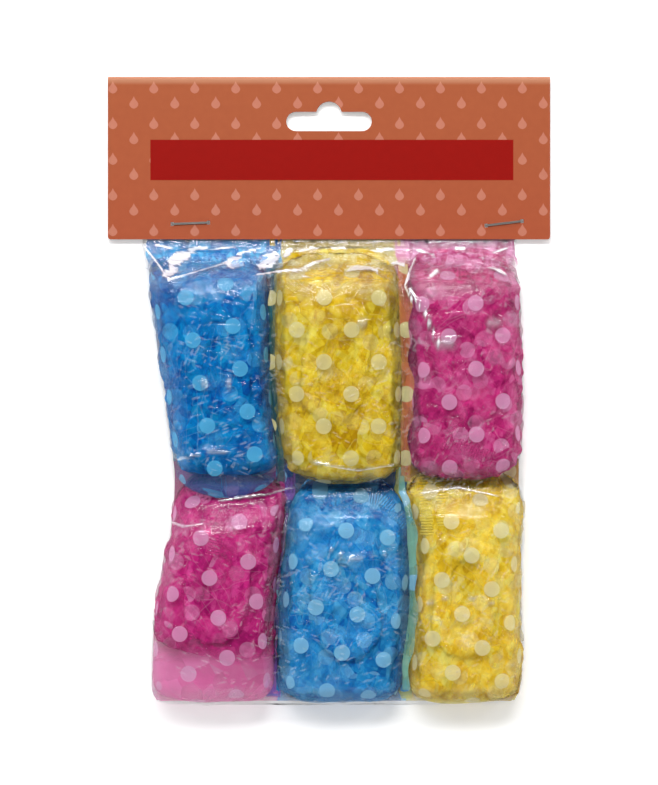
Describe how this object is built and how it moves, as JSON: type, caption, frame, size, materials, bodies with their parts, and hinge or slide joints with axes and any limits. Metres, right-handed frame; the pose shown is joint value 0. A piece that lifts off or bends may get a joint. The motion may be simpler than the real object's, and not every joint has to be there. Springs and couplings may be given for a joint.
{
  "type": "shower cap multipack",
  "caption": "Flat hanging retail pack of folded polka-dot film shower caps in tinted pouches, held in a clear bag under a stapled folded header card with a hang slot.",
  "frame": {"origin": "on the table under the middle of the pack, which lies on its back", "axes": "+X to the right as the front is read, +Y from the pack's bottom to the fold of its header card, +Z out of the front, up from the table"},
  "size_m": [0.155, 0.2196, 0.024],
  "materials": {
    "printed_card": "satin",
    "clear_film": "gloss",
    "blue_film": "gloss",
    "yellow_film": "gloss",
    "pink_film": "gloss",
    "staple_wire": "satin",
    "hem_elastic": "matte"
  },
  "bodies": {
    "filled_bag": {"bag_body": "clear_film", "pouch_top_left": "blue_film", "pouch_top_middle": "yellow_film", "pouch_top_right": "pink_film", "pouch_bottom_left": "pink_film", "pouch_bottom_middle": "blue_film", "pouch_bottom_right": "yellow_film", "cap_top_left": "blue_film", "cap_top_middle": "yellow_film", "cap_top_right": "pink_film", "cap_bottom_left": "pink_film", "cap_bottom_middle": "blue_film", "cap_bottom_right": "yellow_film", "elastic_top_left": "hem_elastic", "elastic_top_middle": "hem_elastic", "elastic_top_right": "hem_elastic", "elastic_bottom_left": "hem_elastic", "elastic_bottom_middle": "hem_elastic", "elastic_bottom_right": "hem_elastic"},
    "header": {"header_card": "printed_card", "bag_mouth": "clear_film", "staple_left": "staple_wire", "staple_right": "staple_wire"}
  },
  "joints": [
    {"name": "header_fold", "type": "hinge", "parent": "filled_bag", "child": "header", "pos_m": [0, 0.05162, 0.00185], "axis": [1, 0, 0], "range_deg": [-90, 90]}
  ]
}
